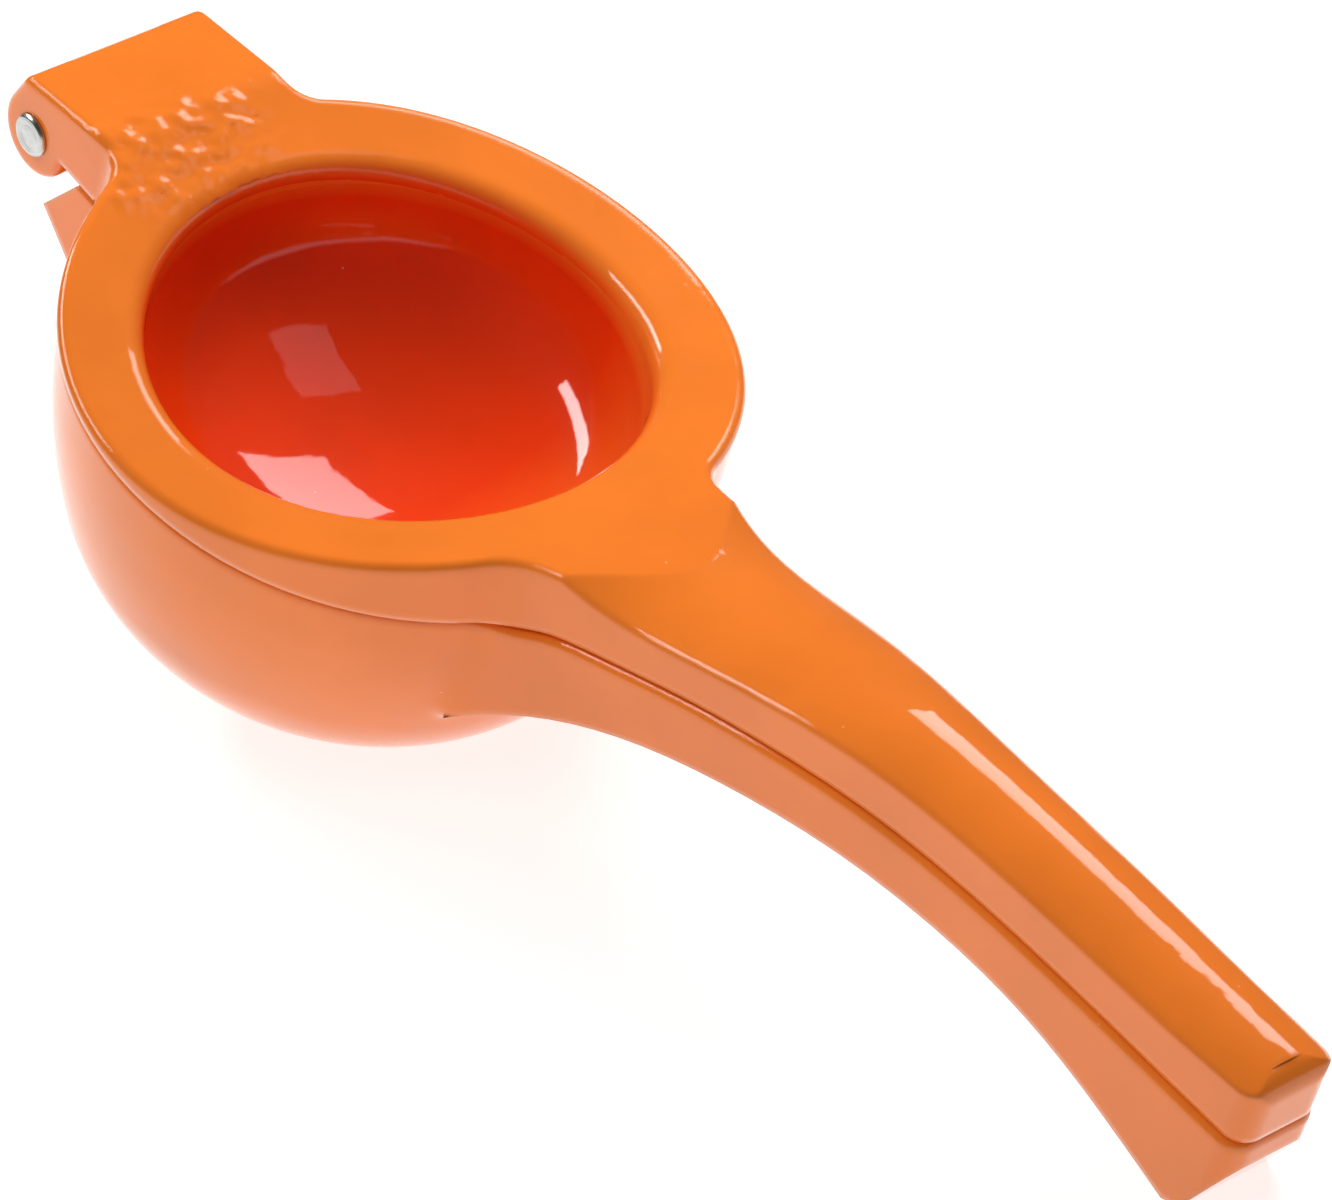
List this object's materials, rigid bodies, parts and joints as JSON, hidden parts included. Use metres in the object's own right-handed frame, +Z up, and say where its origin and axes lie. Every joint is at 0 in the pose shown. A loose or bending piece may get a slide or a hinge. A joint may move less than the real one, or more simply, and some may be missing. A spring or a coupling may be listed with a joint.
{
  "type": "lemon squeezer",
  "caption": "Enamelled cast hand juicer: a press cup nests in a drained bowl, two long handles fold together on a riveted hinge.",
  "frame": {"origin": "centre of the box on the table that the closed press stands on", "axes": "+X from the hinge to the ends of the handles, +Y along the hinge pin, +Z up"},
  "size_m": [0.242, 0.0928, 0.0781],
  "materials": {
    "orange_enamel": "gloss",
    "rivet_steel": "satin"
  },
  "bodies": {
    "bowl_body": {"bowl_arm": "orange_enamel"},
    "press_body": {"press_arm": "orange_enamel", "hinge_pin": "rivet_steel"}
  },
  "joints": [
    {"name": "handle_hinge", "type": "hinge", "parent": "bowl_body", "child": "press_body", "pos_m": [-0.1145, 0, 0.06956], "axis": [0, -1, 0], "range_deg": [0, 130]}
  ]
}
